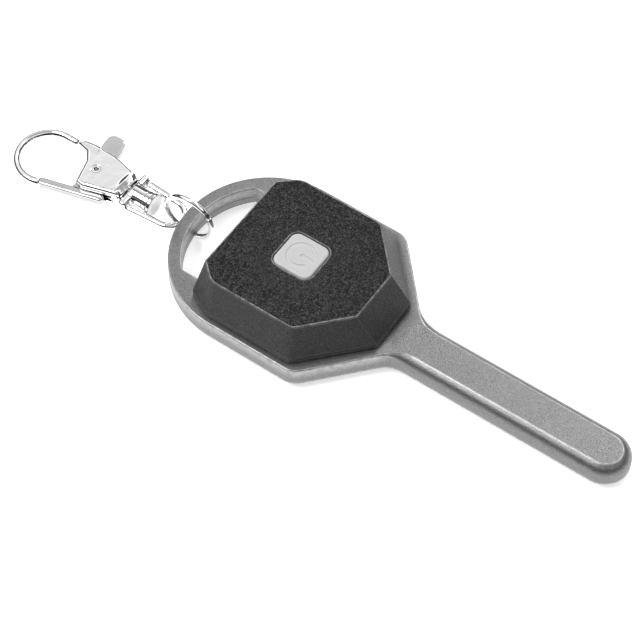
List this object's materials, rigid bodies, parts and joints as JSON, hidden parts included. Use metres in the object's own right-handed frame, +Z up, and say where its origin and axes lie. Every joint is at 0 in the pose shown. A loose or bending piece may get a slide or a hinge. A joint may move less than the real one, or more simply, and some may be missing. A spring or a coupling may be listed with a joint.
{
  "type": "keychain flashlight",
  "caption": "Key-shaped pocket light with a push button, a light bar under its blade and a swivel snap clasp on a jump ring.",
  "frame": {"origin": "on the button's axis, on the surface that the light lies on, at the centre of the battery door", "axes": "+X along the blade to its tip, +Y across the head, +Z up out of the button"},
  "size_m": [0.1368, 0.038, 0.0126],
  "materials": {
    "satin_silver": "satin silver paint with a fine metallic fleck over moulded plastic",
    "charcoal_plastic": "spark-grained charcoal plastic with smooth bevels",
    "grey_silicone": "soft matte light grey silicone",
    "black_plastic": "moulded black",
    "switch_steel": "stamped",
    "board_green": "green solder mask",
    "board_white": "white solder mask on aluminium",
    "phosphor": "yellow phosphor gel",
    "lens": "milky diffuser",
    "cell_steel": "plain",
    "contact_brass": "stamped and sprung",
    "seal_rubber": "moulded",
    "screw_steel": "plated",
    "bright_nickel": "bright nickel plate"
  },
  "bodies": {
    "light": {"upper_shell": "satin_silver", "lower_shell": "satin_silver", "top_cover": "charcoal_plastic", "switch_body": "switch_steel", "circuit_board": "board_green", "driver_parts": "black_plastic", "cell_holder": "black_plastic", "cell_upper": "cell_steel", "cell_lower": "cell_steel", "contact_positive": "contact_brass", "contact_negative": "contact_brass", "battery_door": "satin_silver", "door_seal": "seal_rubber", "door_screws": "screw_steel", "shell_screws": "screw_steel", "led_board": "board_white", "led_strip": "phosphor", "light_lens": "lens", "bus_positive": "contact_brass", "bus_negative": "contact_brass"},
    "button": {"button_cap": "grey_silicone", "switch_plunger": "black_plastic"},
    "ring": {"jump_ring": "bright_nickel"},
    "bow": {"swivel_bow": "bright_nickel"},
    "clasp": {"clasp_body": "bright_nickel", "clasp_rivet": "bright_nickel", "swivel_stem": "bright_nickel", "swivel_washer": "bright_nickel", "lever_spring": "screw_steel"},
    "lever": {"clasp_lever": "bright_nickel"}
  },
  "joints": [
    {"name": "button_press", "type": "slide", "parent": "light", "child": "button", "axis": [0, 0, -1], "range_m": [0, 0.0005], "stiffness_N_per_m": 1500},
    {"name": "ring_travel", "type": "hinge", "parent": "light", "child": "ring", "pos_m": [-0.0078, 0, 0.00578], "axis": [0, 0, 1], "range_deg": [-38, 32]},
    {"name": "ring_swing", "type": "hinge", "parent": "ring", "child": "bow", "pos_m": [-0.02565, 0, 0.00577], "axis": [0, 1, 0], "range_deg": [-4, 115]},
    {"name": "clasp_swivel", "type": "hinge", "parent": "bow", "child": "clasp", "pos_m": [-0.0381, -0.00075, 0.0026], "axis": [1, 0, 0], "continuous": true},
    {"name": "lever_open", "type": "hinge", "parent": "clasp", "child": "lever", "pos_m": [-0.0479, -0.00145, 0.0026], "axis": [0, 0, -1], "range_deg": [0, 25], "stiffness_Nm_per_rad": 0.02}
  ]
}
